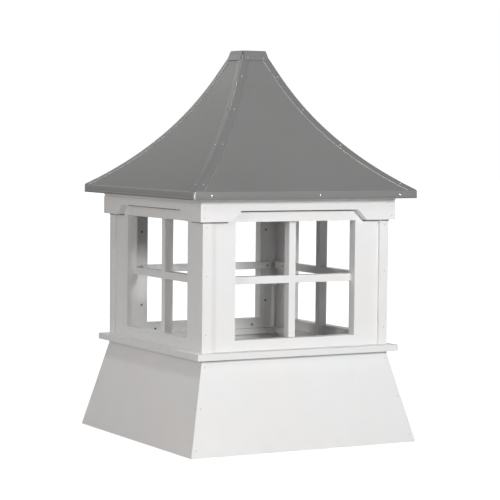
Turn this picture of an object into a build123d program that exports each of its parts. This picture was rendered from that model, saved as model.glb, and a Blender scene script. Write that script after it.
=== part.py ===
from build123d import *
import math
import os

# Barn cupola: flared base, windowed square mid-section, concave sheet-metal roof.
# Millimetres. Origin at the middle of the underside, +Z up, front side towards -Y.
# A "half" is the distance of a face from the vertical axis.

# ---- base ------------------------------------------------------------------------
BASE_HALF_BOTTOM = 381.0      # half of the 762 mm (30 in) foot
BASE_HALF_TOP = 314.5
BASE_HEIGHT = 273.0
BASE_BOARD = 13.0             # half-inch PVC sheet
CLEAT_INNER_HALF = 268.0      # nailer behind the top edge of each base panel
CLEAT_DEPTH = 64.0

# ---- sill ------------------------------------------------------------------------
SILL_HALF = 342.0
SILL_INNER_HALF = 256.0
SILL_THICK = 19.0              # three-quarter-inch board

# ---- mid-section -----------------------------------------------------------------
POST_HALF = 316.0             # outer faces of the corner boards
POST_FACE = 30.5              # width of a corner board's face
POST_THICK = 8.5
WALL_THICK = 19.0
WALL_HEIGHT = 436.5
LINER_THICK = 14.0
LINER_STILE = 39.5            # front and back liners reach this far past the opening
WINDOW_HALF = 203.5
WINDOW_RISE = 32.0            # from the sill to the opening
WINDOW_HEIGHT = 345.0

# ---- window bars -----------------------------------------------------------------
BAR_WIDTH = 22.5
BAR_DEPTH = 28.0
BAR_SETBACK = 22.5            # from the face of the wall board to the face of a bar
BAR_LAP = 31.0                # the upright runs this far past the head of the opening
RAIL_LAP = 25.5               # front and back rails run this far past its sides

# ---- header boards ---------------------------------------------------------------
HEADER_HALF = 330.5
HEADER_HEIGHT = 53.5
HEADER_GAP = 4.5              # shadow gap under the roof plate
ARCH_RISE = 31.5
ARCH_HALF_TOP = 198.0
ARCH_HALF_BOTTOM = 230.0

# ---- roof ------------------------------------------------------------------------
PLATE_THICK = 12.7
PLATE_INNER_HALF = 262.0
SOFFIT_THICK = 12.7
EAVE_HALF = 376.5
EAVE_RISE = 32.9              # from the top of the walls to the outer edge of the hips
FASCIA_DROP = 25.6            # from that edge to the foot of the fascia
SHEET = 1.5                   # coated sheet, modelled thicker than the real 0.8 mm
HEM = 7.0                     # folded-back edge
LAP = 0.3                     # clearance between lapped sheets
HIP_LEG = 24.5                # true width of each leg of a hip cap
ROOF_HEIGHT = 448.5           # from the top of the walls to the top of the cap
CAP_HALF = 39.0
CAP_TAB_HALF = 40.0           # half-width of each folded tab
CAP_TAB_DROP = 29.0
CAP_HALF_FOOT = 53.5          # outer faces of the tabs at their lower edges
CAP_LAP = 8.0                 # the roof panels end this far up behind the tabs
HIP_CLEARANCE = 1.0           # between the hip line and the inner faces of the tabs
STRAIGHT_DROP = 54.0          # the hips run straight to this far below the tabs

FAR = 900.0
SIDES = {"front": 0, "right": 90, "back": 180, "left": 270}
CORNERS = {"front_right": 0, "back_right": 90, "back_left": 180, "front_left": 270}

# ---- levels ----------------------------------------------------------------------
base_top = BASE_HEIGHT
sill_top = base_top + SILL_THICK
wall_top = sill_top + WALL_HEIGHT
plate_top = wall_top + PLATE_THICK
window_bottom = sill_top + WINDOW_RISE
window_top = window_bottom + WINDOW_HEIGHT
bar_mid = (window_bottom + window_top) / 2
header_top = wall_top - HEADER_GAP
header_bottom = header_top - HEADER_HEIGHT
eave_z = wall_top + EAVE_RISE
fascia_foot = eave_z - FASCIA_DROP
cap_top = wall_top + ROOF_HEIGHT
cap_foot = cap_top - CAP_TAB_DROP

# Section plane of the front side: local x is the distance from the axis, local y the height.
ACROSS = Plane(origin=(FAR, 0, 0), x_dir=(0, -1, 0), z_dir=(-1, 0, 0))


def outline(points):
    return make_face(Polyline(*points, close=True))


def run(face):
    """Extrude a section of the front side along the whole side."""
    return extrude(ACROSS * face, 2 * FAR, dir=(-1, 0, 0))


def plan(points, z0, z1):
    """Vertical prism over a plan outline."""
    return Pos(0, 0, z0) * extrude(outline(points), z1 - z0, dir=(0, 0, 1))


# the quarter that belongs to the front side, between the two diagonal planes
QUARTER = plan([(0, 0), (-FAR, -FAR), (FAR, -FAR)], -100, 2000)


def mitred(points):
    return run(outline(points)) & QUARTER


def box(x0, x1, y0, y1, z0, z1):
    return Pos((x0 + x1) / 2, (y0 + y1) / 2, (z0 + z1) / 2) * Box(x1 - x0, y1 - y0, z1 - z0)


def ring(outer, inner, z0, thick):
    top = z0 + thick
    return box(-outer, outer, -outer, outer, z0, top) - box(-inner, inner, -inner, inner, z0, top)


def facing(points, y0, y1):
    """Board with an outline in x and z, from y0 (front) to y1 (back)."""
    face = Plane(origin=(0, y0, 0), x_dir=(1, 0, 0), z_dir=(0, -1, 0)) * outline(points)
    return extrude(face, y1 - y0, dir=(0, 1, 0))


# ---- base: four mitred, leaning panels, each with a nailer behind its top edge ----
lean = (BASE_HALF_BOTTOM - BASE_HALF_TOP) / BASE_HEIGHT
board_run = BASE_BOARD * math.sqrt(1 + lean ** 2)


def base_inner(z):
    return BASE_HALF_BOTTOM - lean * z - board_run


base_panel = mitred([
    (BASE_HALF_BOTTOM, 0), (BASE_HALF_TOP, base_top),
    (base_inner(base_top), base_top), (base_inner(0), 0),
])
cleat_foot = base_top - CLEAT_DEPTH
base_cleat = mitred([
    (CLEAT_INNER_HALF, cleat_foot), (base_inner(cleat_foot), cleat_foot),
    (base_inner(base_top), base_top), (CLEAT_INNER_HALF, base_top),
])

# ---- sill ------------------------------------------------------------------------
sill = mitred([
    (SILL_INNER_HALF, base_top), (SILL_HALF, base_top),
    (SILL_HALF, sill_top), (SILL_INNER_HALF, sill_top),
])

# ---- corner boards ---------------------------------------------------------------
wall_outer = POST_HALF - POST_THICK
post = facing([
    (wall_outer, sill_top), (POST_HALF, sill_top), (POST_HALF, header_bottom), (wall_outer, header_bottom),
], -POST_HALF, -(POST_HALF - POST_FACE))
post += box(POST_HALF - POST_FACE, POST_HALF, -POST_HALF, -wall_outer, sill_top, header_bottom)

# ---- wall boards, liners and window bars -----------------------------------------
wall_inner = wall_outer - WALL_THICK
liner_inner = wall_inner - LINER_THICK
bar_outer = wall_outer - BAR_SETBACK
bar_inner = bar_outer - BAR_DEPTH
opening = box(-WINDOW_HALF, WINDOW_HALF, -FAR, -100, window_bottom, window_top)


def window_bars(reach):
    upright = box(-BAR_WIDTH / 2, BAR_WIDTH / 2, -bar_outer, -bar_inner, sill_top, window_top + BAR_LAP)
    rail = box(-reach, reach, -bar_outer, -bar_inner, bar_mid - BAR_WIDTH / 2, bar_mid + BAR_WIDTH / 2)
    return upright + rail


def pierced(half_width, y0, y1, reach):
    """Board with the window opening, housed out for the bars."""
    return box(-half_width, half_width, -y0, -y1, sill_top, wall_top) - opening - window_bars(reach)


# front and back boards run through, side boards fit between them
long_liner = min(WINDOW_HALF + LINER_STILE, liner_inner)
long_rail = min(WINDOW_HALF + RAIL_LAP, bar_inner - 1.0)
long_side = (wall_outer, long_liner, long_rail)
short_side = (wall_inner, wall_inner, liner_inner - 1.0)

# ---- header boards: over the heads of the corner boards ---------------------------
header = facing([
    (-HEADER_HALF, header_bottom), (-ARCH_HALF_BOTTOM, header_bottom),
    (-ARCH_HALF_TOP, header_bottom + ARCH_RISE), (ARCH_HALF_TOP, header_bottom + ARCH_RISE),
    (ARCH_HALF_BOTTOM, header_bottom), (HEADER_HALF, header_bottom),
    (HEADER_HALF, header_top), (-HEADER_HALF, header_top),
], -HEADER_HALF, -wall_outer) & QUARTER

# ---- roof plate and soffit -------------------------------------------------------
fascia_inner = EAVE_HALF - SHEET
roof_plate = ring(HEADER_HALF, PLATE_INNER_HALF, wall_top, PLATE_THICK)
soffit = ring(fascia_inner - SHEET - LAP, PLATE_INNER_HALF, plate_top, SOFFIT_THICK)

# ---- bell curve of the hips ------------------------------------------------------
# Straight behind the cap, parallel to its tabs, then one arc from there to the eave.
draw = (CAP_HALF_FOOT - CAP_HALF) / CAP_TAB_DROP
tab_run = SHEET * math.sqrt(1 + draw ** 2)
top_slope = math.atan(1 / draw)
bend_z = cap_foot - STRAIGHT_DROP
bend_half = CAP_HALF_FOOT - tab_run - HIP_CLEARANCE + draw * STRAIGHT_DROP
chord = math.hypot(EAVE_HALF - bend_half, bend_z - eave_z)
chord_slope = math.atan2(bend_z - eave_z, EAVE_HALF - bend_half)
foot_slope = 2 * chord_slope - top_slope
bell_radius = chord / (2 * math.sin(top_slope - chord_slope))
centre_half = EAVE_HALF + bell_radius * math.sin(foot_slope)
centre_z = eave_z + bell_radius * math.cos(foot_slope)


def slope_at_half(depth, half):
    return math.asin((centre_half - half) / (bell_radius + depth))


def bell(depth, slope):
    """Point of the arc that lies this far under the hip line, where it has this slope."""
    r = bell_radius + depth
    return (centre_half - r * math.sin(slope), centre_z - r * math.cos(slope))


def straight_end(depth, z):
    """Point of the straight run that lies this far under the hip line, at this height."""
    half, bend = bell(depth, top_slope)
    return (half - draw * (z - bend), z)


def bell_sheet(upper, lower, top_z, end_upper, end_lower, tail=()):
    """Section of a sheet between two depths; the tail closes it at the eave."""
    a, b = slope_at_half(upper, end_upper), slope_at_half(lower, end_lower)
    top = [
        bell(upper, top_slope), straight_end(upper, top_z),
        straight_end(lower, top_z), bell(lower, top_slope),
    ]
    foot = [bell(lower, b), *tail, bell(upper, a)]
    edges = [
        ThreePointArc(bell(upper, a), bell(upper, (a + top_slope) / 2), top[0]),
        ThreePointArc(top[-1], bell(lower, (top_slope + b) / 2), bell(lower, b)),
    ]
    edges += [Line(p, q) for path in (top, foot) for p, q in zip(path[:-1], path[1:])]
    return make_face(Curve() + edges)


# ---- roof panels: bell sheet, fascia and the hem folded up behind it --------------
cap_lift = 2 * SHEET + LAP           # the hemmed cap edge lies between hip line and panel
roof_panel = run(bell_sheet(cap_lift, cap_lift + SHEET, cap_foot + CAP_LAP, EAVE_HALF, fascia_inner, [
    (fascia_inner, fascia_foot + HEM), (fascia_inner - SHEET, fascia_foot + HEM),
    (fascia_inner - SHEET, fascia_foot), (EAVE_HALF, fascia_foot),
])) & QUARTER


# ---- hip caps: two legs folded along the hip, each edge hemmed under --------------
def leg_run(half, width):
    """How far along the eave direction a strip of this true width reaches from the hip."""
    slope = slope_at_half(0, min(max(half, bend_half), EAVE_HALF))
    return math.sqrt(2) * width * math.sqrt((1 + math.cos(slope) ** 2) / 2)


def beside_hip(width_a, width_b):
    """Plan prism between two lines that keep a true width from the hip of the front right corner."""
    halves = [CAP_HALF / 2, bend_half, EAVE_HALF + 5]
    line_a = [(half - leg_run(half, width_a), -half) for half in halves]
    line_b = [(half - leg_run(half, width_b), -half) for half in reversed(halves)]
    return plan(line_a + line_b, wall_top, 2000)


hip_top = cap_top - SHEET - LAP
cap_sheet = run(bell_sheet(0, SHEET, hip_top, EAVE_HALF, EAVE_HALF))
hem_sheet = run(bell_sheet(SHEET, 2 * SHEET, hip_top, EAVE_HALF, EAVE_HALF))
hip_leg = (cap_sheet & beside_hip(0, HIP_LEG)) + (hem_sheet & beside_hip(HIP_LEG - HEM, HIP_LEG))
hip_cap = hip_leg + mirror(hip_leg, Plane(origin=(0, 0, 0), z_dir=(1, 1, 0)))


# ---- top cap: flat square with four tabs folded down over the hips ----------------
def frustum(low_half, low_z, high_half, high_z):
    low = Plane(origin=(0, 0, low_z)) * Rectangle(2 * low_half, 2 * low_half)
    high = Plane(origin=(0, 0, high_z)) * Rectangle(2 * high_half, 2 * high_half)
    return loft([low, high])


top_cap = frustum(CAP_HALF_FOOT, cap_foot, CAP_HALF, cap_top)
top_cap -= frustum(
    CAP_HALF_FOOT - tab_run + draw * 5, cap_foot - 5,
    CAP_HALF - tab_run + draw * SHEET, cap_top - SHEET,
)
notch = box(CAP_TAB_HALF, CAP_TAB_HALF + 30, CAP_TAB_HALF, CAP_TAB_HALF + 30, cap_foot - 5, cap_top + 5)
for quarter_turn in range(4):
    top_cap -= Rot(0, 0, 90 * quarter_turn) * notch

# ---- name and place --------------------------------------------------------------
parts = {"roof_plate": roof_plate, "soffit_board": soffit, "top_cap": top_cap}
for name, angle in SIDES.items():
    wall_half, liner_half, reach = long_side if name in ("front", "back") else short_side
    side_parts = {
        "base_panel": base_panel,
        "base_cleat": base_cleat,
        "sill": sill,
        "wall_board": pierced(wall_half, wall_outer, wall_inner, reach),
        "window_liner": pierced(liner_half, wall_inner, liner_inner, reach),
        "window_bars": window_bars(reach),
        "header": header,
        "roof_panel": roof_panel,
    }
    for part, shape in side_parts.items():
        parts[part + "_" + name] = Rot(0, 0, angle) * shape
for name, angle in CORNERS.items():
    parts["corner_board_" + name] = Rot(0, 0, angle) * post
    parts["hip_cap_" + name] = Rot(0, 0, angle) * hip_cap

os.makedirs("parts", exist_ok=True)
for name, shape in parts.items():
    solids = shape.solids()
    export_step(solids[0] if len(solids) == 1 else Compound(children=list(solids)), "parts/" + name + ".step")
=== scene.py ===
# Looks of the barn cupola: camera, lamps, materials, roof sheets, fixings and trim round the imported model.
import math

import bmesh
import bpy
from mathutils import Matrix, Vector


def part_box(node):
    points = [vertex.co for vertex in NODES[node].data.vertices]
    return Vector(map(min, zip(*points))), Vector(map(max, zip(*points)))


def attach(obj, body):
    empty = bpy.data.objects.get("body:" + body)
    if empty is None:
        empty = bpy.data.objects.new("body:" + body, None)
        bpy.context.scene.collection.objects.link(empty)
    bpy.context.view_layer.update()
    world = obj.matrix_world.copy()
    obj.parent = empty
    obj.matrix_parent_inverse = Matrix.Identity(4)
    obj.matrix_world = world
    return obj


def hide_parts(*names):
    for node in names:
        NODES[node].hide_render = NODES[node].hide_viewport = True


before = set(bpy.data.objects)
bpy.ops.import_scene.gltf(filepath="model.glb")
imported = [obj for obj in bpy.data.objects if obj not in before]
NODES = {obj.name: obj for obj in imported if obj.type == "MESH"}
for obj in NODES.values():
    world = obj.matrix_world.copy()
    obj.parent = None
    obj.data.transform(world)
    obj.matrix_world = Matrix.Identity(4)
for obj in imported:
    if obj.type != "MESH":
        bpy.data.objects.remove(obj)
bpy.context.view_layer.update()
SIDES = {"front": 0, "right": 90, "back": 180, "left": 270}
CORNERS = {"front_right": 0, "back_right": 90, "back_left": 180, "front_left": 270}
FIXED_SIDES = ("front", "back")        # the sides on which the fascia and the cap's tab show their fixings
METAL = ("roof_panel", "hip_cap", "top_cap")
scene = bpy.context.scene
scene.view_settings.view_transform = "Standard"


def turn(degrees):
    """Rotation about the cupola's axis, which takes the front side to another side."""
    return Matrix.Rotation(math.radians(degrees), 4, "Z")


def both(x):
    return -x, x


# ------------------------------------------------------------------ camera
CAMERA_AT = Vector((-2.9439, -5.3545, 0.9414))
CAMERA_RIGHT = Vector((0.87561, -0.48291, 0.00991))
CAMERA_BACK = Vector((-0.48256, -0.87372, 0.06131))
SENSOR_MM, LENS_MM = 36.0, 142.88
CLIP_END = 60.0


def make_camera():
    data = bpy.data.cameras.new("camera")
    data.sensor_width = SENSOR_MM
    data.lens = LENS_MM
    data.clip_end = CLIP_END
    camera = bpy.data.objects.new("camera", data)
    scene.collection.objects.link(camera)
    up = CAMERA_BACK.cross(CAMERA_RIGHT).normalized()
    side = up.cross(CAMERA_BACK).normalized()
    pose = Matrix((side, up, CAMERA_BACK.normalized())).transposed().to_4x4()
    pose.translation = CAMERA_AT
    camera.matrix_world = pose
    scene.camera = camera


make_camera()


# ------------------------------------------------------------------ light
MIDDLE = Vector((0, 0, 0.65))  # what the lamps look at
WHITE = (1.0, 1.0, 1.0)


def softbox(name, azimuth, elevation, distance, size, power, colour=WHITE):
    """Rectangular lamp that faces the middle; the azimuth runs from the front to the left."""
    a, e = math.radians(azimuth), math.radians(elevation)
    towards = Vector((-math.sin(a) * math.cos(e), -math.cos(a) * math.cos(e), math.sin(e)))
    data = bpy.data.lights.new(name, "AREA")
    data.shape = "RECTANGLE"
    data.size, data.size_y = size
    data.energy = power
    data.color = colour
    lamp = bpy.data.objects.new(name, data)
    scene.collection.objects.link(lamp)
    lamp.location = MIDDLE + towards * distance
    lamp.rotation_euler = (-towards).to_track_quat("-Z", "Y").to_euler()


# Degrees, degrees, metres, (width, height) in metres, watts
softbox("key", -6, 13.3, 5.5, (1.0, 1.0), 165)
softbox("high_key", 22, 35, 5.0, (0.5, 0.5), 15)
softbox("left_strip", 64, 9, 5.0, (0.45, 2.6), 60, (1.0, 0.95, 0.92))
softbox("overhead", 108, 70, 5.0, (0.7, 0.7), 40)
softbox("rim", 151, 21, 5.5, (1.6, 1.6), 16)
softbox("back_right", -145, 28, 5.5, (2.2, 2.2), 52)

AMBIENT = 0.17                 # light from all round
AMBIENT_TINT = (1.0, 0.98, 0.95)
GLOSS = 0.30                   # what surfaces mirror in most directions
BACKDROP = Vector((-0.5, 0.85, 0.2))   # towards the white backdrop that the left side mirrors
BACKDROP_COSINES = (0.70, 0.97)        # the mirrored world goes from GLOSS to white between these


def make_world():
    """White for the camera, an even grey for diffuse light, a white backdrop for reflections."""
    world = bpy.data.worlds.new("studio")
    world.use_nodes = True
    scene.world = world
    nodes, links = world.node_tree.nodes, world.node_tree.links
    nodes.clear()

    def background(strength, tint):
        shade = nodes.new("ShaderNodeBackground")
        shade.inputs["Color"].default_value = (*tint, 1)
        if isinstance(strength, float):
            shade.inputs["Strength"].default_value = strength
        else:
            links.new(strength, shade.inputs["Strength"])
        return shade

    coord = nodes.new("ShaderNodeTexCoord")
    facing = nodes.new("ShaderNodeVectorMath")
    facing.operation = "DOT_PRODUCT"
    links.new(coord.outputs["Generated"], facing.inputs[0])
    facing.inputs[1].default_value = BACKDROP.normalized()
    white = nodes.new("ShaderNodeMapRange")
    white.interpolation_type = "SMOOTHSTEP"
    ranges = zip(("From Min", "From Max", "To Min", "To Max"), (*BACKDROP_COSINES, GLOSS, 1.0))
    for socket, value in ranges:
        white.inputs[socket].default_value = value
    links.new(facing.outputs["Value"], white.inputs["Value"])

    path = nodes.new("ShaderNodeLightPath")
    mirrored, seen = background(white.outputs[0], WHITE), background(1.0, WHITE)
    last = background(AMBIENT, AMBIENT_TINT)
    for ray, shade in (("Is Glossy Ray", mirrored), ("Is Camera Ray", seen)):
        mix = nodes.new("ShaderNodeMixShader")
        links.new(path.outputs[ray], mix.inputs["Fac"])
        links.new(last.outputs[0], mix.inputs[1])
        links.new(shade.outputs[0], mix.inputs[2])
        last = mix
    out = nodes.new("ShaderNodeOutputWorld")
    links.new(last.outputs[0], out.inputs["Surface"])


make_world()


# ------------------------------------------------------------------ materials
class Graph:
    """Small helper around one material's node tree."""

    def __init__(self, name):
        self.mat = bpy.data.materials.new(name)
        self.mat.use_nodes = True
        self.nodes, self.links = self.mat.node_tree.nodes, self.mat.node_tree.links
        self.nodes.clear()
        self.out = self.nodes.new("ShaderNodeOutputMaterial")
        self.coord = self.nodes.new("ShaderNodeTexCoord").outputs["Object"]

    def noise(self, scale, detail, rough):
        node = self.nodes.new("ShaderNodeTexNoise")
        node.inputs["Scale"].default_value = scale
        node.inputs["Detail"].default_value = detail
        node.inputs["Roughness"].default_value = rough
        self.links.new(self.coord, node.inputs["Vector"])
        return node.outputs["Fac"]

    def span(self, value, to_min, to_max, from_min=0.3, from_max=0.7):
        """The value mapped from one range to another, and held at its ends."""
        node = self.nodes.new("ShaderNodeMapRange")
        node.inputs["From Min"].default_value = from_min
        node.inputs["From Max"].default_value = from_max
        node.inputs["To Min"].default_value = to_min
        node.inputs["To Max"].default_value = to_max
        self.links.new(value, node.inputs["Value"])
        return node.outputs[0]

    def mix(self, share, first, second):
        """Colour between first and second, each a colour or a socket."""
        node = self.nodes.new("ShaderNodeMix")
        node.data_type = "RGBA"
        self.links.new(share, node.inputs["Factor"])
        for socket, colour in ((node.inputs[6], first), (node.inputs[7], second)):
            if isinstance(colour, tuple):
                socket.default_value = (*colour, 1)
            else:
                self.links.new(colour, socket)
        return node.outputs[2]

    def bump(self, height, strength, distance, after=None):
        node = self.nodes.new("ShaderNodeBump")
        node.inputs["Strength"].default_value = strength
        node.inputs["Distance"].default_value = distance
        self.links.new(height, node.inputs["Height"])
        if after is not None:
            self.links.new(after, node.inputs["Normal"])
        return node.outputs[0]

    def surface(self, shader):
        self.links.new(shader.outputs[0], self.out.inputs["Surface"])
        return self.mat

    def principled(self, colour, rough, normal, fixed):
        """The finished material: three linked inputs, and the fixed ones set on the shader's sockets."""
        shader = self.nodes.new("ShaderNodeBsdfPrincipled")
        self.links.new(colour, shader.inputs["Base Color"])
        self.links.new(rough, shader.inputs["Roughness"])
        self.links.new(normal, shader.inputs["Normal"])
        for socket, value in fixed.items():
            shader.inputs[socket].default_value = value
        return self.surface(shader)


def shade_of(tint, *factors):
    """The tint times one factor, or times one for each channel."""
    return tuple(c * f for c, f in zip(tint, factors if len(factors) == 3 else factors * 3))


def white_board(name, tint=(0.84, 0.84, 0.845)):
    """Satin board: slow warm and cool drift, faint smudges, fine grain and a slightly uneven face."""
    g = Graph(name)
    broad = g.noise(3.5, 3, 0.5)
    smudge = g.noise(17, 5, 0.6)
    grain = g.noise(420, 2, 0.5)
    warm, cool = shade_of(tint, 1.0, 0.99, 0.98), shade_of(tint, 0.99, 1.0, 1.0)
    colour = g.mix(g.span(broad, 0, 1, 0.35, 0.65), warm, cool)
    colour = g.mix(g.span(smudge, 0.0, 0.35, 0.45, 0.75), colour, shade_of(tint, 0.95))
    rough = g.span(smudge, 0.42, 0.56)
    normal = g.bump(grain, 0.12, 0.0003)
    normal = g.bump(broad, 0.25, 0.0008, normal)
    return g.principled(colour, rough, normal, {"IOR": 1.46, "Specular IOR Level": 0.4})


def painted_sheet(name, tint=(0.220, 0.221, 0.221), gloss=(0.27, 0.34), ior=1.5, metallic=0.0):
    """Satin coated sheet: a little dust, fine orange peel and slow waves; gloss is its roughness range."""
    g = Graph(name)
    broad = g.noise(4.0, 2, 0.5)
    dust = g.noise(26, 5, 0.62)
    peel = g.noise(900, 2, 0.5)
    colour = g.mix(g.span(broad, 0, 1, 0.35, 0.65), tint, shade_of(tint, 1.05))
    colour = g.mix(g.span(dust, 0.0, 0.5, 0.5, 0.8), colour, shade_of(tint, 1.10))
    rough = g.span(broad, *gloss)
    normal = g.bump(peel, 0.05, 0.0002)
    normal = g.bump(broad, 0.35, 0.004, normal)
    return g.principled(colour, rough, normal, {"IOR": ior, "Specular IOR Level": 0.5, "Metallic": metallic})


M_WHITE = white_board("white_board")
M_ROOF = painted_sheet("roof_sheet")
M_HIP = painted_sheet("hip_sheet", (0.205, 0.206, 0.206), (0.20, 0.26), 1.7)
# painted highlight: pale grey on the hips' rolled edges, standing for the glint along them
M_EDGE_HIGHLIGHT = painted_sheet("painted_edge_highlight", (0.72, 0.72, 0.71), (0.45, 0.55))
M_ZINC = painted_sheet("zinc_head", (0.85, 0.85, 0.84), (0.22, 0.28), metallic=1.0)
# painted shade: a near-black strip laid under the header boards where their shadow falls
M_PAINTED_SHADE = white_board("painted_shade_strip", (0.10, 0.098, 0.094))
M_RIVET = painted_sheet("rivet_paint", (0.33, 0.33, 0.33), (0.16, 0.22), 1.9)
M_NAIL = white_board("nail_paint", (0.55, 0.55, 0.54))
M_SCREW = painted_sheet("screw_head", (0.07, 0.068, 0.065), (0.30, 0.40))


# ------------------------------------------------------------------ floor
FLOOR_SIZE = 25.0
FLOOR_GAP = 0.0005             # from the object's foot down to the floor
FLOOR_COLOUR = (0.5, 0.5, 0.5, 1)
FLOOR_GLOW = (0.80, 1.05)      # what the camera sees on top of the lit floor, near the object and far away
GLOW_RADII = (0.6, 1.3)        # metres from the axis, between which the glow changes


def make_floor():
    """Floor that reads white to the camera, but keeps the object's shadow."""
    bm = bmesh.new()
    bmesh.ops.create_grid(bm, x_segments=1, y_segments=1, size=FLOOR_SIZE)
    mesh = bpy.data.meshes.new("floor")
    bm.to_mesh(mesh)
    bm.free()
    floor = bpy.data.objects.new("floor", mesh)
    scene.collection.objects.link(floor)
    floor.location.z = -FLOOR_GAP
    g = Graph("floor")
    reach = g.nodes.new("ShaderNodeVectorMath")
    reach.operation = "LENGTH"
    g.links.new(g.coord, reach.inputs[0])
    path = g.nodes.new("ShaderNodeLightPath")
    strength = g.nodes.new("ShaderNodeMath")
    strength.operation = "MULTIPLY"
    g.links.new(path.outputs["Is Camera Ray"], strength.inputs[0])
    g.links.new(g.span(reach.outputs["Value"], *FLOOR_GLOW, *GLOW_RADII), strength.inputs[1])
    emission = g.nodes.new("ShaderNodeEmission")
    g.links.new(strength.outputs[0], emission.inputs["Strength"])
    diffuse = g.nodes.new("ShaderNodeBsdfDiffuse")
    diffuse.inputs["Color"].default_value = FLOOR_COLOUR
    add = g.nodes.new("ShaderNodeAddShader")
    g.links.new(diffuse.outputs[0], add.inputs[0])
    g.links.new(emission.outputs[0], add.inputs[1])
    mesh.materials.append(g.surface(add))


make_floor()


# ------------------------------------------------------------------ mesh helpers
def add_piece(name, bm, mat, replaces=(), smooth=40.0):
    """Object from a bmesh, on the one body; edges sharper than the smooth angle stay sharp."""
    bmesh.ops.recalc_face_normals(bm, faces=bm.faces)
    mesh = bpy.data.meshes.new(name)
    bm.to_mesh(mesh)
    bm.free()
    mesh.materials.append(mat)
    piece = bpy.data.objects.new(name, mesh)
    scene.collection.objects.link(piece)
    for polygon in mesh.polygons:
        polygon.use_smooth = True
    mesh.set_sharp_from_angle(angle=math.radians(smooth))
    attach(piece, "root")
    if replaces:
        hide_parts(*replaces)
    return piece


def skin(bm, rows, wrap=True, caps=True):
    """Quads between rows of points; wrap closes each row, caps close the two ends."""
    rows = [[bm.verts.new(p) for p in row] for row in rows]
    count = len(rows[0])
    for a, b in zip(rows[:-1], rows[1:]):
        for i in range(count if wrap else count - 1):
            j = (i + 1) % count
            bm.faces.new((a[i], a[j], b[j], b[i]))
    if caps:
        bm.faces.new(rows[0])
        bm.faces.new(list(reversed(rows[-1])))
    return rows


def ease_edges(piece, width, segments, angle):
    """Round the edges that turn by more than this angle."""
    ease = piece.modifiers.new("ease", "BEVEL")
    ease.width = width
    ease.segments = segments
    ease.limit_method = "ANGLE"
    ease.angle_limit = math.radians(angle)
    return ease


# ------------------------------------------------------------------ boards, straight from the CAD
BOARD_EASE = 0.0008            # width of the eased arrises
WELD_GAP = 0.00002
FACET_ANGLE = 0.6              # neighbouring facets within this many degrees are one flat face


def finish_board(board):
    """Weld the imported facets back into flat faces and ease the arrises of a board."""
    weld = board.modifiers.new("weld", "WELD")
    weld.merge_threshold = WELD_GAP
    flat = board.modifiers.new("flatten", "DECIMATE")
    flat.decimate_type = "DISSOLVE"
    flat.angle_limit = math.radians(FACET_ANGLE)
    ease_edges(board, BOARD_EASE, segments=2, angle=30).harden_normals = True
    board.data.materials.clear()
    board.data.materials.append(M_WHITE)


for node in NODES:
    if not node.startswith(METAL):
        finish_board(NODES[node])


# ------------------------------------------------------------------ roof geometry, metres
CAD_SHEET = 0.0015             # the CAD's sheet, on which the cap's fit is based
SHEET = 0.0008                 # the sheet as it looks
HEM = 0.007                    # folded-back edge
ROLL = 0.0011                  # radius of the open fold along a hip cap's free edge
LIFT = 1.5 * ROLL              # from the hip line down to the panels; the hems sink a little into them
HIP_LEG = 0.0245               # width of each leg of a hip cap
EAVE_DROP = 0.0256             # from the hip line at the eave to the foot of the fascia
CAP_HALF, TAB_HALF = 0.039, 0.040      # half-widths of the cap's flat and of its tabs
TAB_CLEARANCE = 0.001          # between a tab of the CAD and the hip caps
STRAIGHT_DROP = 0.054          # height of the straight run under the cap
PANEL_LAP = 0.008              # how far a panel goes up under the cap's tab

PANEL_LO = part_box("roof_panel_front")[0]
CAP_LO, CAP_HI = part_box("top_cap")
EAVE, FASCIA_FOOT = -PANEL_LO.y, PANEL_LO.z
CAP_FOOT, CAP_TOP, CAP_HALF_FOOT = CAP_LO.z, CAP_HI.z, CAP_HI.x
HIP_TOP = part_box("hip_cap_front_right")[1].z
EAVE_Z = FASCIA_FOOT + EAVE_DROP
DRAW = (CAP_HALF_FOOT - CAP_HALF) / (CAP_TOP - CAP_FOOT)
TOP_SLOPE = math.atan(1 / DRAW)
BEND_Z = CAP_FOOT - STRAIGHT_DROP
BEND_HALF = CAP_HALF_FOOT - CAD_SHEET * math.sqrt(1 + DRAW ** 2) - TAB_CLEARANCE + DRAW * STRAIGHT_DROP
CHORD = math.hypot(EAVE - BEND_HALF, BEND_Z - EAVE_Z)
CHORD_SLOPE = math.atan2(BEND_Z - EAVE_Z, EAVE - BEND_HALF)
FOOT_SLOPE = 2 * CHORD_SLOPE - TOP_SLOPE
RADIUS = CHORD / (2 * math.sin(TOP_SLOPE - CHORD_SLOPE))
CENTRE = (EAVE + RADIUS * math.sin(FOOT_SLOPE), EAVE_Z + RADIUS * math.cos(FOOT_SLOPE))


def bell(depth, slope, rise=0.0):
    """(half, z) at this depth under the hip line: on the arc at this slope, then up the straight run."""
    r = RADIUS + depth
    half = CENTRE[0] - r * math.sin(slope) - rise * math.cos(TOP_SLOPE)
    return half, CENTRE[1] - r * math.cos(slope) + rise * math.sin(TOP_SLOPE)


def slope_at(depth, half):
    return math.asin((CENTRE[0] - half) / (RADIUS + depth))


def rise_to(depth, z):
    """How far up the straight run this level lies."""
    return (z - bell(depth, TOP_SLOPE)[1]) / math.sin(TOP_SLOPE)


def stations(depth, top_z, foot_slope, straight=10, curved=96):
    """(slope, rise) pairs from the top of the straight run down the arc to foot_slope."""
    high = rise_to(depth, top_z)
    run = [(TOP_SLOPE, high * (1 - i / straight)) for i in range(straight)]
    fall = foot_slope - TOP_SLOPE
    return run + [(TOP_SLOPE + fall * i / curved, 0.0) for i in range(curved + 1)]


def arc_points(centre, radius, a0, a1, steps):
    """Points on an arc in the (half, z) section; angles are measured from the half axis."""
    angles = [a0 + (a1 - a0) * i / steps for i in range(steps + 1)]
    return [(centre[0] + radius * math.cos(a), centre[1] + radius * math.sin(a)) for a in angles]


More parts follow.
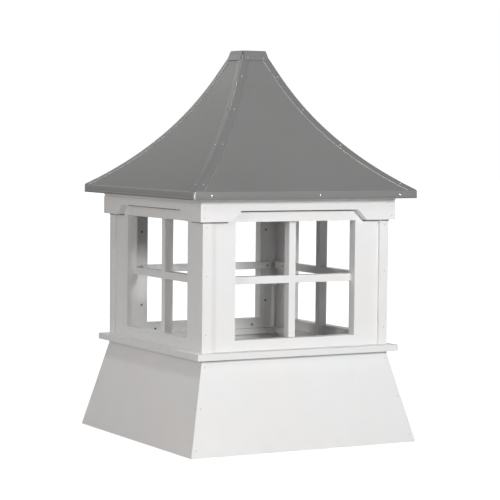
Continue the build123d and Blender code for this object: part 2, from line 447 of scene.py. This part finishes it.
# ------------------------------------------------------------------ roof panels
EAVE_BEND = 0.0026             # outside radius of the fold at the eave
BEAD_R, BEAD_RISE = 0.0016, 0.0048     # stiffening bead pressed into the fascia above its foot
BEAD_AXIS = EAVE - 0.0007
PANEL_COLUMNS = 28
BEND_STEPS, BEAD_STEPS, INNER_BEND_STEPS = 6, 8, 4


def panel_section():
    """Closed section of a roof panel: sheet, rounded eave bend, fascia and folded hem."""
    slope = slope_at(LIFT + EAVE_BEND, EAVE - EAVE_BEND)
    centre = bell(LIFT + EAVE_BEND, slope)
    top_z = CAP_FOOT + PANEL_LAP
    outer = [bell(LIFT, *station) for station in stations(LIFT, top_z, slope)]
    outer += arc_points(centre, EAVE_BEND, math.pi / 2 - slope, 0.0, BEND_STEPS)[1:]
    bead_angle = math.acos((EAVE - BEAD_AXIS) / BEAD_R)
    bead = BEAD_AXIS, FASCIA_FOOT + BEAD_RISE
    outer += arc_points(bead, BEAD_R, bead_angle, -bead_angle, BEAD_STEPS)
    outer += arc_points((EAVE - SHEET, FASCIA_FOOT + SHEET), SHEET, 0.0, -math.pi, BEAD_STEPS)
    inner = [(EAVE - 2 * SHEET, FASCIA_FOOT + HEM), (EAVE - SHEET, FASCIA_FOOT + HEM)]
    inner += arc_points(centre, EAVE_BEND - SHEET, 0.0, math.pi / 2 - slope, INNER_BEND_STEPS)
    under = LIFT + SHEET
    inner += [bell(under, *station) for station in reversed(stations(under, top_z, slope)[:-1])]
    return outer + inner


def roof_panel(side, angle):
    spin = turn(angle)
    section = panel_section()
    shares = [2 * k / PANEL_COLUMNS - 1 for k in range(PANEL_COLUMNS + 1)]
    bm = bmesh.new()
    skin(bm, [[spin @ Vector((half * share, -half, z)) for half, z in section] for share in shares])
    add_piece("roof_skin_" + side, bm, M_ROOF, ["roof_panel_" + side], smooth=35)


for side, angle in SIDES.items():
    roof_panel(side, angle)


SEAM_R, SEAM_WING = 0.0036, 0.0008     # bend radius of the fascia's corner, and its lap on each side
SEAM_PROUD = 0.0003            # how far the corner stands off the fascia
SEAM_FOOT, SEAM_TOP = FASCIA_FOOT + 0.0008, EAVE_Z - 0.0034
SEAM_STEPS = 10


def corner_seam(name, angle):
    """The fascia's corner, where one panel's end is folded round onto the next side."""
    spin = turn(angle)
    face, back = EAVE + SEAM_PROUD, EAVE - SEAM_PROUD
    centre = face - SEAM_R
    wing = centre - SEAM_WING
    bend = arc_points((centre, centre), SEAM_R, math.pi / 2, 0.0, SEAM_STEPS)
    inside = arc_points((centre, centre), SEAM_R - 2 * SEAM_PROUD, 0.0, math.pi / 2, SEAM_STEPS)
    plan = [(wing, face)] + bend + [(face, wing), (back, wing)] + inside + [(wing, back)]
    bm = bmesh.new()
    skin(bm, [[spin @ Vector((x, -y, z)) for x, y in plan] for z in (SEAM_FOOT, SEAM_TOP)])
    add_piece("fascia_seam_" + name, bm, M_ZINC)


for name, angle in CORNERS.items():
    corner_seam(name, angle)


# ------------------------------------------------------------------ hip caps
FOLD_TOP, FOLD_FOOT = 0.0060, 0.0038   # half-width of the bent fold: soft near the cap, crisp below
FOLD_SOFT_Z = (1.050, 1.095)   # between these levels the fold opens out
FOLD_STEPS, INNER_FOLD_STEPS, ROLL_STEPS = 10, 6, 8
HIP_STRAIGHT, HIP_CURVED = 24, 160     # stations on the straight run and on the arc
LEG_FLATS = (0.72, 0.44)       # points along the leg, as shares of the way from the fold to the free edge
HIP_SHORT = 0.0004             # a hip cap's curve stops this far short of the eave
LEG_POINTS = 1 + (ROLL_STEPS + 1) + len(LEG_FLATS)
HIGHLIGHT_STEPS = 6                 # faces of a rolled edge, from below, that carry the pale painted highlight
HIGHLIGHT_COLUMNS = [1 + i for i in range(HIGHLIGHT_STEPS)]
HIGHLIGHT_COLUMNS += [2 * LEG_POINTS + FOLD_STEPS - 2 - i for i in range(HIGHLIGHT_STEPS)]


def hip_frame(slope, rise=0.0):
    """Fold point, the two leg directions for a true width of 1, and the two panel normals."""
    half, z = bell(0, slope, rise)
    scale = math.sqrt(1 + math.cos(slope) ** 2)
    legs = Vector((-scale, 0, 0)), Vector((0, scale, 0))
    normals = Vector((0, -math.sin(slope), math.cos(slope))), Vector((math.sin(slope), 0, math.cos(slope)))
    return Vector((half, -half, z)), legs, normals


def leg_point(origin, along, normal, width, depth):
    return origin + along * width - normal * depth


def rolled_leg(origin, along, normal, fold):
    """Outer face of one leg: its hem, the rolled free edge, and points towards the fold."""
    points = [leg_point(origin, along, normal, HIP_LEG - HEM, 2 * ROLL)]
    for i in range(ROLL_STEPS + 1):
        a = math.pi * (i / ROLL_STEPS - 0.5)
        width, depth = HIP_LEG - ROLL + ROLL * math.cos(a), ROLL - ROLL * math.sin(a)
        points.append(leg_point(origin, along, normal, width, depth))
    for share in LEG_FLATS:
        points.append(leg_point(origin, along, normal, fold + (HIP_LEG - fold) * share, 0))
    return points


def quadratic(a, b, c, steps):
    """Points on the curve from a to c that bends towards b."""
    shares = [i / steps for i in range(steps + 1)]
    return [a * (1 - t) ** 2 + b * 2 * t * (1 - t) + c * t ** 2 for t in shares]


def hip_section(slope, rise, fold):
    """Closed section across a hip cap: leg, fold, second leg back to its hem, inside."""
    o, (e1, e2), (n1, n2) = hip_frame(slope, rise)
    points = rolled_leg(o, e1, n1, fold)
    points += quadratic(leg_point(o, e1, n1, fold, 0), o, leg_point(o, e2, n2, fold, 0), FOLD_STEPS)
    points += reversed(rolled_leg(o, e2, n2, fold))
    inside = o - (n1 + n2) * (SHEET / (1 + n1.dot(n2)))
    points.append(leg_point(o, e2, n2, HIP_LEG - HEM, SHEET))
    turns = leg_point(o, e2, n2, fold, SHEET), inside, leg_point(o, e1, n1, fold, SHEET)
    points += quadratic(*turns, INNER_FOLD_STEPS)
    points.append(leg_point(o, e1, n1, HIP_LEG - HEM, SHEET))
    return points


def fold_at(z):
    """Half-width of the fold at this level, with a smooth change from crisp to soft."""
    low, high = FOLD_SOFT_Z
    soft = min(max((z - low) / (high - low), 0), 1)
    return FOLD_FOOT + (FOLD_TOP - FOLD_FOOT) * soft ** 2 * (3 - 2 * soft)


def hip_cap(name, angle):
    """Bent strip over a hip; its last row drops straight down, so that the foot closes on the panels."""
    spin = turn(angle)
    foot_slope = slope_at(0, EAVE - HIP_SHORT)
    rows = []
    for slope, rise in stations(0, HIP_TOP, foot_slope, HIP_STRAIGHT, HIP_CURVED):
        fold = fold_at(bell(0, slope, rise)[1])
        rows.append([spin @ p for p in hip_section(slope, rise, fold)])
    rows.append([p - Vector((0, 0, LIFT)) for p in rows[-1]])
    bm = bmesh.new()
    skin(bm, rows)
    cap = add_piece("hip_fold_" + name, bm, M_HIP, ["hip_cap_" + name])
    cap.data.materials.append(M_EDGE_HIGHLIGHT)
    count = len(rows[0])
    # the rolled edges' outer faces get the pale painted highlight
    for polygon in cap.data.polygons:
        if polygon.index < count * (len(rows) - 1) and polygon.index % count in HIGHLIGHT_COLUMNS:
            polygon.material_index = 1


for name, angle in CORNERS.items():
    hip_cap(name, angle)


# ------------------------------------------------------------------ top cap
CAP_BEND = 0.0022              # outside radius of the bend between the flat and a tab
CAP_EASE = 0.0008
TILT = math.atan(DRAW)         # lean of a tab from the vertical
TAB_SHEET = 0.0010             # the cap's sheet as it looks
TAB_TUCK = 0.0016              # how far a tab's foot is pressed in against the hip caps
TAB_SHARES = (-1, -0.6, -0.2, 0.2, 0.6, 1)
WELD_CAP = 0.00005


def tab_line(offset):
    """Plate edge and tab in (half, z), this far inside the outer faces."""
    z = CAP_TOP - CAP_BEND
    half = CAP_HALF + (CAP_TOP - z) * DRAW - CAP_BEND / math.cos(TILT)
    line = arc_points((half, z), CAP_BEND - offset, math.pi / 2, TILT, BEND_STEPS)
    foot = (CAP_HALF_FOOT - TAB_TUCK - offset / math.cos(TILT), CAP_FOOT)
    halfway = (line[-1][0] + foot[0]) / 2, (line[-1][1] + foot[1]) / 2
    return line + [halfway, foot]


def top_cap():
    """Flat square plate with four tabs folded down; the corners between them stay open."""
    bm = bmesh.new()
    section = tab_line(0.0) + list(reversed(tab_line(TAB_SHEET)))
    plates = ([], [])
    for angle in SIDES.values():
        spin = turn(angle)
        rows = []
        for share in TAB_SHARES:
            widths = [min(half, TAB_HALF) * share for half, _ in section]
            rows.append([spin @ Vector((w, -half, z)) for w, (half, z) in zip(widths, section)])
        made = skin(bm, rows, wrap=False)
        for loop, index in zip(plates, (0, -1)):
            loop += [row[index] for row in made]
    for loop in plates:
        bm.faces.new(loop)
    bmesh.ops.remove_doubles(bm, verts=bm.verts, dist=WELD_CAP)
    cap = add_piece("cap_folded", bm, M_ROOF, ["top_cap"])
    ease_edges(cap, CAP_EASE, segments=3, angle=50)


top_cap()


# ------------------------------------------------------------------ rivets and screws of the roof
HEAD_SIDES, HEAD_LEVELS = 20, 5
HEAD_SINK = 0.0004             # how far a head's rim goes into the surface
HEAD_TIP = 0.02                # what is left of the radius at the very top
HEAD_SMOOTH = 60
OUTWARD, INWARD = (0, -1, 0), (0, 1, 0)
RIVET = (0.0036, 0.0020)       # radius and height of a head, as for all that follow
FASCIA_SCREW = (0.0040, 0.0020)
RIVET_HALVES = (0.076, 0.134, 0.218, 0.350)    # from the axis out to each pair on a hip cap
RIVET_SHARE = 0.52             # of the way across a hip cap's leg
FASCIA_SCREW_X, FASCIA_SCREW_RISE = (-0.319, 0.0395, 0.318), 0.011
CAP_RIVET_X, CAP_RIVET_RISE = (-0.0275, 0.0265), 0.0063
TUCK_AT_RIVETS = 0.75          # share of TAB_TUCK that has been reached at the rivets' level


def head(bm, spin, at, normal, size):
    """Low dome of this (radius, height), given on the front side and turned to its own."""
    radius, height = size
    out = (spin.to_3x3() @ Vector(normal)).normalized()
    seat = Vector((0, 0, 1)).rotation_difference(out).to_matrix().to_4x4()
    place = Matrix.Translation(spin @ Vector(at)) @ seat
    around = [2 * math.pi * k / HEAD_SIDES for k in range(HEAD_SIDES)]
    levels = [(radius, -HEAD_SINK)]
    for i in range(HEAD_LEVELS):
        a = math.pi / 2 * i / HEAD_LEVELS
        levels.append((radius * math.cos(a), height * math.sin(a)))
    levels.append((radius * HEAD_TIP, height))
    skin(bm, [[place @ Vector((r * math.cos(a), r * math.sin(a), h)) for a in around] for r, h in levels])


def hip_rivets(name, angle):
    bm = bmesh.new()
    spin = turn(angle)
    for half in RIVET_HALVES:
        if half < BEND_HALF:
            o, legs, normals = hip_frame(TOP_SLOPE, (BEND_HALF - half) / math.cos(TOP_SLOPE))
        else:
            o, legs, normals = hip_frame(slope_at(0, half))
        for along, normal in zip(legs, normals):
            head(bm, spin, o + along * (HIP_LEG * RIVET_SHARE), normal, RIVET)
    add_piece("hip_rivets_" + name, bm, M_RIVET, smooth=HEAD_SMOOTH)


def fascia_screws(side, angle):
    bm = bmesh.new()
    spin = turn(angle)
    for x in FASCIA_SCREW_X:
        head(bm, spin, (x, -EAVE, FASCIA_FOOT + FASCIA_SCREW_RISE), OUTWARD, FASCIA_SCREW)
    add_piece("fascia_screws_" + side, bm, M_ZINC, smooth=HEAD_SMOOTH)


def cap_rivets():
    """Two rivets in the cap's tab on each of the fixed sides."""
    bm = bmesh.new()
    tab_face = CAP_HALF_FOOT - DRAW * CAP_RIVET_RISE - TAB_TUCK * TUCK_AT_RIVETS
    for side in FIXED_SIDES:
        spin = turn(SIDES[side])
        for x in CAP_RIVET_X:
            at = (x, -tab_face, CAP_FOOT + CAP_RIVET_RISE)
            head(bm, spin, at, (0, -math.cos(TILT), math.sin(TILT)), RIVET)
    add_piece("cap_rivets", bm, M_RIVET, smooth=HEAD_SMOOTH)


for name, angle in CORNERS.items():
    hip_rivets(name, angle)
for side in FIXED_SIDES:
    fascia_screws(side, SIDES[side])
cap_rivets()


# ------------------------------------------------------------------ nails and screws of the boards
POST_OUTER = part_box("corner_board_front_right")[1].x
HEADER_LO, HEADER_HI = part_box("header_front")
LINER_FACE_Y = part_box("window_liner_front")[1].y
BARS_LO, BARS_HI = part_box("window_bars_front")
BASE_HALF, BASE_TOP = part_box("base_panel_front")[1].x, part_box("base_panel_front")[1].z
BASE_TOP_HALF = 0.3145         # half-width of the flared base at its top
LEAN = math.atan2(BASE_HALF - BASE_TOP_HALF, BASE_TOP)

NAIL, BASE_NAIL = (0.0019, 0.0004), (0.0021, 0.0004)
POST_NAIL_X, POST_NAIL_Z = 0.303, (0.345, 0.515, 0.655)
HEADER_NAIL_X, HEADER_NAIL_Z = 0.318, (0.683, 0.712)
BASE_NAIL_SHARES, BASE_NAIL_INSET = (0.08, 0.5, 0.92), 0.012   # shares of the height, metres from the mitre
LINER_SCREW, RAIL_SCREW = (0.0034, 0.0010), (0.0028, 0.0010)
JAMB_SCREW_X, JAMB_SCREW_Z = 0.224, (0.381, 0.612)
RAIL_SCREW_X = 0.22064
SILL_SCREW_X, SILL_SCREW_Z = 0.175, (0.3035, 0.690)            # at the liner's foot and its top


def board_nails(side, angle):
    """Small painted nail heads: up the corner boards, along the header and at the base's mitres."""
    bm = bmesh.new()
    spin = turn(angle)
    for x in both(POST_NAIL_X):
        for z in POST_NAIL_Z:
            head(bm, spin, (x, -POST_OUTER, z), OUTWARD, NAIL)
    for x in both(HEADER_NAIL_X):
        for z in HEADER_NAIL_Z:
            head(bm, spin, (x, HEADER_LO.y, z), OUTWARD, NAIL)
    for share in BASE_NAIL_SHARES:
        half = BASE_HALF - (BASE_HALF - BASE_TOP_HALF) * share
        for x in both(half - BASE_NAIL_INSET):
            at = (x, -half, BASE_TOP * share)
            head(bm, spin, at, (0, -math.cos(LEAN), math.sin(LEAN)), BASE_NAIL)
    add_piece("board_nails_" + side, bm, M_NAIL, smooth=HEAD_SMOOTH)


def liner_screws(side, angle):
    """Dark screw heads on the inside of the liners and at the ends of the grille's rail."""
    bm = bmesh.new()
    spin = turn(angle)
    rail_z = (BARS_LO.z + BARS_HI.z) / 2
    for jamb_x, rail_x in zip(both(JAMB_SCREW_X), both(RAIL_SCREW_X)):
        for z in JAMB_SCREW_Z:
            head(bm, spin, (jamb_x, LINER_FACE_Y, z), INWARD, LINER_SCREW)
        head(bm, spin, (rail_x, BARS_HI.y, rail_z), INWARD, RAIL_SCREW)
    for x in both(SILL_SCREW_X):
        for z in SILL_SCREW_Z:
            head(bm, spin, (x, LINER_FACE_Y, z), INWARD, LINER_SCREW)
    add_piece("liner_screws_" + side, bm, M_SCREW, smooth=HEAD_SMOOTH)


for side, angle in SIDES.items():
    board_nails(side, angle)
    liner_screws(side, angle)


# ------------------------------------------------------------------ packing strip over the header
SHIM_SETBACK = 0.0022          # from the header's face to the strip's
SHIM_DEPTH = 0.006
SHIM_LAP = 0.0002              # how far the strip goes into the boards under and over it
WELD_SHIM = 0.00001


def header_shims():
    """Square ring of thin strip that closes the gap between the header boards and the roof plate."""
    outer = -HEADER_LO.y - SHIM_SETBACK
    inner = outer - SHIM_DEPTH
    low, high = HEADER_HI.z - SHIM_LAP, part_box("roof_plate")[0].z + SHIM_LAP
    corners = ((-1, -1), (1, -1), (1, 1), (-1, 1))
    rows = []
    for half, z in ((outer, low), (outer, high), (inner, high), (inner, low)):
        rows.append([(half * x, half * y, z) for x, y in corners])
    bm = bmesh.new()
    skin(bm, rows + [rows[0]], caps=False)
    bmesh.ops.remove_doubles(bm, verts=bm.verts, dist=WELD_SHIM)
    add_piece("header_packing", bm, M_WHITE, smooth=20)


header_shims()


# ------------------------------------------------------------------ painted shade under the header boards
SHADE_STRIP_HEIGHT, SHADE_STRIP_DEPTH = 0.0036, 0.0008
SHADE_STRIP_LAP = 0.0001              # how far the dark strip goes into the board behind it
POST_FACE = 0.0305             # width of a corner board's face
ARCH_RISE, ARCH_HALF_TOP, ARCH_HALF_BOTTOM = 0.0315, 0.198, 0.230


def paint_header_shade(side, angle):
    """Thin dark strip under the level edges of a header board: painted shade standing for the shadow the
    board casts.
    """
    foot, wall = HEADER_LO.z, -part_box("wall_board_front")[0].y
    post_edge = POST_OUTER - POST_FACE
    runs = [(-ARCH_HALF_TOP, ARCH_HALF_TOP, wall, foot + ARCH_RISE)]
    for way in (-1, 1):
        runs.append((way * ARCH_HALF_BOTTOM, way * post_edge, wall, foot))
        runs.append((way * post_edge, way * POST_OUTER, POST_OUTER, foot))
    bm = bmesh.new()
    spin = turn(angle)
    for x0, x1, face, top in runs:
        back, front, low = -face + SHADE_STRIP_LAP, -face - SHADE_STRIP_DEPTH, top - SHADE_STRIP_HEIGHT
        ring = ((back, top), (front, top), (front, low), (back, low))
        skin(bm, [[spin @ Vector((x, y, z)) for y, z in ring] for x in (x0, x1)])
    add_piece("painted_shade_header_" + side, bm, M_PAINTED_SHADE, smooth=20)


for side, angle in SIDES.items():
    paint_header_shade(side, angle)
